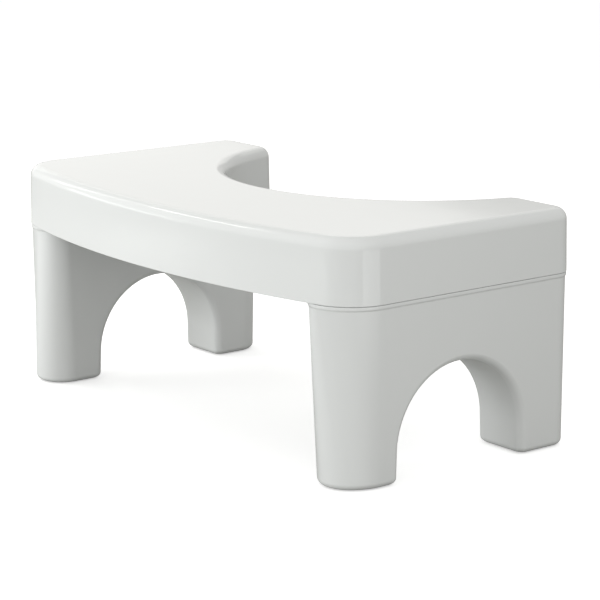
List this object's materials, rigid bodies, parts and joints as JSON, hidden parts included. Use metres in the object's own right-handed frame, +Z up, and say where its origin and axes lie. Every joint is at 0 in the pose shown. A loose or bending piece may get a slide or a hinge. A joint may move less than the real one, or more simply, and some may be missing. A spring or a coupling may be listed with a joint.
{
  "type": "toilet footstool",
  "caption": "Low crescent footstool whose cut-out back edge fits round a toilet's base, on two arched plug-in leg frames with rubber foot pads.",
  "frame": {"origin": "on the floor, below the middle of the footprint", "axes": "+X along the stool's length, +Y to the back where the cut-out takes the toilet's base, +Z up"},
  "size_m": [0.42, 0.2368, 0.177],
  "materials": {
    "gloss_white": "glossy moulded white plastic",
    "satin_white": "slightly less glossy moulded white plastic",
    "pale_rubber": "matt pale grey rubber"
  },
  "bodies": {
    "deck": {"deck": "gloss_white"},
    "right_leg": {"right_leg_frame": "satin_white", "front_right_foot_pad": "pale_rubber", "back_right_foot_pad": "pale_rubber"},
    "left_leg": {"left_leg_frame": "satin_white", "front_left_foot_pad": "pale_rubber", "back_left_foot_pad": "pale_rubber"}
  },
  "joints": [
    {"name": "right_leg_plug", "type": "slide", "parent": "deck", "child": "right_leg", "axis": [0, 0, -1], "range_m": [0, 0.025]},
    {"name": "left_leg_plug", "type": "slide", "parent": "deck", "child": "left_leg", "axis": [0, 0, -1], "range_m": [0, 0.025]}
  ]
}
